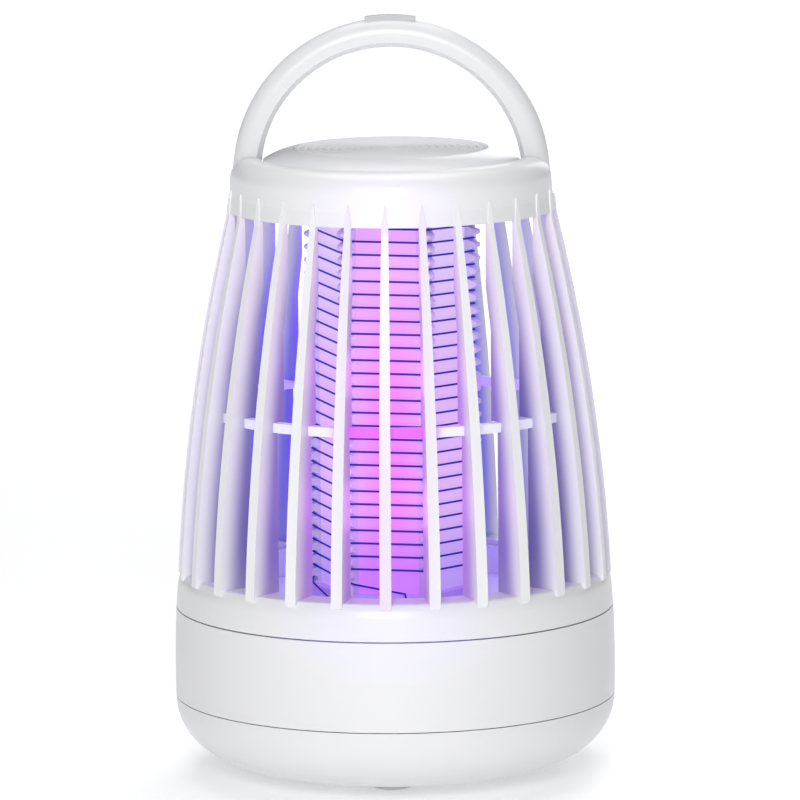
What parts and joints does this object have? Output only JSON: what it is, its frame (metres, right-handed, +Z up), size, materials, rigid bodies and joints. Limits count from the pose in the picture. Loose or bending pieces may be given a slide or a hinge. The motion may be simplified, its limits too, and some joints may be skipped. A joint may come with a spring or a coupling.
{
  "type": "electric bug zapper",
  "caption": "Lantern-style electric bug zapper: bladed cage round a wire-wound lamp column, domed cap with folding carrying handle, round rechargeable base.",
  "frame": {"origin": "on the floor, under the middle of the feet", "axes": "+Z up along the column, front is -Y, the handle pivots about X"},
  "size_m": [0.1326, 0.1325, 0.228],
  "materials": {
    "white_shell": "satin, slightly glossy white",
    "white_deck": "satin white",
    "white_cage": "satin white, lit violet from inside",
    "white_cap": "satin white",
    "disc_grey": "fine concentric grooves",
    "white_handle": "glossy white",
    "crown_pad": "soft satin",
    "column_white": "satin white",
    "diffuser": "milky, glows pink to violet",
    "grid_wire": "thin drawn wire",
    "steel": "plated",
    "foot_rubber": "light grey, slightly translucent",
    "battery_wrap": "plain shrink wrap",
    "circuit_board": "solder mask",
    "led_board": "white solder mask",
    "led_lens": "clear violet resin",
    "ferrite": "sintered",
    "copper_coil": "enamelled winding",
    "capacitor": "epoxy dip",
    "diode": "moulded",
    "button_grey": "satin",
    "switch_black": "moulded",
    "light_pipe": "clear",
    "lead_red": "wire insulation",
    "cradle_white": "matte"
  },
  "bodies": {
    "base": {"bottom_cover": "white_shell", "base_shell": "white_shell", "deck_plate": "white_deck", "rubber_feet": "foot_rubber", "housing_screws": "steel", "battery_cell": "battery_wrap", "battery_cradle": "cradle_white", "main_pcb": "circuit_board", "usb_socket": "steel", "hv_transformer_core": "ferrite", "hv_transformer_coil": "copper_coil", "multiplier_capacitors": "capacitor", "multiplier_diodes": "diode", "pcb_screws": "steel", "tact_switch": "switch_black", "charge_light_pipe": "light_pipe", "battery_leads": "lead_red", "column_base": "column_white", "lamp_diffuser": "diffuser", "column_head": "column_white", "comb_posts": "column_white", "grid_wire_a": "grid_wire", "grid_wire_b": "grid_wire", "grid_terminals": "steel", "uv_led_board": "led_board", "uv_leds": "led_lens", "column_screws": "steel"},
    "button": {"power_button": "button_grey"},
    "cage": {"cage_ring": "white_cage", "cage_blades": "white_cage", "cage_mid_ring": "white_cage", "top_cap": "white_cap", "cap_dome": "white_cap", "grooved_disc": "disc_grey", "cap_screws": "steel", "handle_pivot_pins": "steel"},
    "handle": {"handle": "white_handle", "handle_crown_pad": "crown_pad"}
  },
  "joints": [
    {"name": "cage_twist", "type": "hinge", "parent": "base", "child": "cage", "pos_m": [0, 0, 0.055], "axis": [0, 0, 1], "range_deg": [0, 14]},
    {"name": "handle_fold", "type": "hinge", "parent": "cage", "child": "handle", "pos_m": [0, 0, 0.1796], "axis": [-1, 0, 0], "range_deg": [0, 90]},
    {"name": "button_press", "type": "slide", "parent": "base", "child": "button", "axis": [-0.2756, -0.9613, 0], "range_m": [0, 0.0006], "stiffness_N_per_m": 400}
  ]
}
